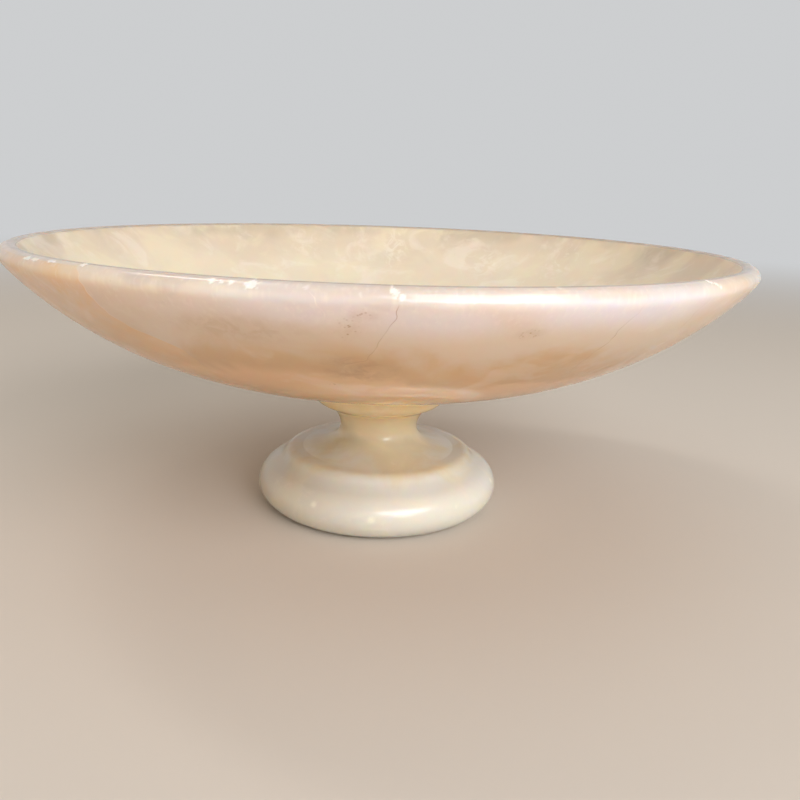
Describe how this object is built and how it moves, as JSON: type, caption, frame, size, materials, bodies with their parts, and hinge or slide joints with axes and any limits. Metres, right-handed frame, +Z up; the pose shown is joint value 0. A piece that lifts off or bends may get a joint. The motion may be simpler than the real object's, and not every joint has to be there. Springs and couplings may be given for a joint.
{
  "type": "pedestal bowl",
  "caption": "Wide shallow turned stone bowl with a round lip, pinned and cemented to a low turned pedestal with a bead, a waisted neck and a cushion collar.",
  "frame": {"origin": "centre of the foot's underside, on the surface that the bowl stands on", "axes": "+Z up along the turning axis of bowl and pedestal; +X and +Y are level and interchangeable"},
  "size_m": [0.3, 0.3, 0.1174],
  "materials": {
    "bowl_stone": "gloss",
    "pedestal_stone": "gloss",
    "pin_brass": "satin",
    "cement": "matte"
  },
  "bodies": {
    "root": {"bowl": "bowl_stone", "pedestal": "pedestal_stone", "joint_pin": "pin_brass", "socket_cement": "cement", "bed_cement": "cement"}
  },
  "joints": []
}
